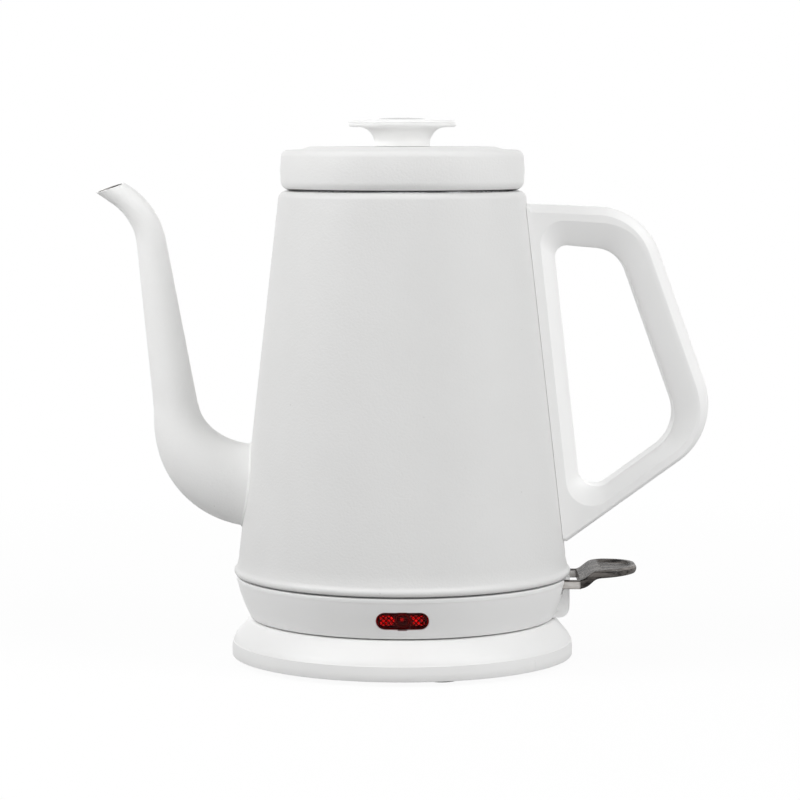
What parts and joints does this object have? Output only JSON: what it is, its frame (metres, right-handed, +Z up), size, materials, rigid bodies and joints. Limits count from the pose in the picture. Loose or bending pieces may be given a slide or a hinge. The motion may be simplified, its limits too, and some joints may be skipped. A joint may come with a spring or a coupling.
{
  "type": "gooseneck kettle",
  "caption": "Electric drip kettle: conical vessel, long gooseneck spout, closed-loop handle, lift-off lid, power base, pilot lamp and switch lever.",
  "frame": {"origin": "on the worktop, under the middle of the power base, which is also the middle of the whole box in X and Y", "axes": "+Z up along the vessel's axis, -X towards the spout, +X towards the handle, -Y towards the pilot lamp"},
  "size_m": [0.2495, 0.14, 0.2215],
  "materials": {
    "white_coat": "matt white powder coat with a fine grain",
    "white_plastic": "satin white moulding",
    "white_gloss": "smooth white moulding",
    "steel": "bare stainless steel",
    "alloy": "plain aluminium",
    "contact_brass": "bright brass",
    "black_plastic": "black moulding",
    "rubber": "dark grey rubber",
    "seal_silicone": "translucent white silicone",
    "duct_silicone": "red silicone",
    "red_lens": "dark red transparent moulding",
    "smoked_clear": "smoked transparent moulding",
    "lead_wire": "red wire covering",
    "board_green": "green circuit board",
    "ivory_plastic": "ivory moulding"
  },
  "bodies": {
    "base": {"base_shell": "white_gloss", "base_floor": "white_plastic", "base_feet": "rubber", "base_screws": "steel", "base_connector": "black_plastic", "base_contacts": "contact_brass", "lead_clamp": "steel"},
    "inlet": {"inlet_body": "black_plastic", "inlet_contacts": "contact_brass"},
    "kettle": {"kettle_body": "white_coat", "spout": "white_coat", "heater_plate": "steel", "diffuser_plate": "alloy", "heating_element": "steel", "floor_seal": "seal_silicone", "collar": "white_plastic", "bottom_cover": "white_plastic", "cover_studs": "steel", "cover_screws": "steel", "control_body": "black_plastic", "bimetal_discs": "steel", "steam_tube": "steel", "steam_duct": "duct_silicone", "lamp_lens": "red_lens", "lamp_board": "board_green", "lamp_leads": "lead_wire", "handle": "white_plastic", "handle_brackets": "steel", "handle_screws": "steel", "screw_caps": "white_plastic", "lever_pin": "steel", "rocker_pin": "steel"},
    "lever": {"switch_lever": "smoked_clear"},
    "rocker": {"rocker": "ivory_plastic", "rocker_spring": "steel"},
    "lid": {"lid_shell": "white_coat", "lid_pan": "steel", "knob": "white_gloss", "knob_cap": "white_gloss", "knob_insert": "contact_brass", "knob_screw": "steel", "knob_washer": "steel"}
  },
  "joints": [
    {"name": "kettle_lift", "type": "slide", "parent": "base", "child": "inlet", "axis": [0, 0, 1], "range_m": [0, 0.08]},
    {"name": "kettle_swivel", "type": "hinge", "parent": "inlet", "child": "kettle", "pos_m": [0, 0, 0], "axis": [0, 0, 1], "continuous": true},
    {"name": "lid_lift", "type": "slide", "parent": "kettle", "child": "lid", "axis": [0, 0, 1], "range_m": [0, 0.05]},
    {"name": "lever_tilt", "type": "hinge", "parent": "kettle", "child": "lever", "pos_m": [0.06, 0, 0.0312], "axis": [0, 1, 0], "range_deg": [0, 10]},
    {"name": "rocker_tilt", "type": "hinge", "parent": "kettle", "child": "rocker", "pos_m": [0.0276, 0, 0.0262], "axis": [0, 1, 0], "range_deg": [-6, 0]}
  ],
  "couplings": [
    {"joint": "rocker_tilt", "follows": "lever_tilt", "ratio": -0.44}
  ]
}
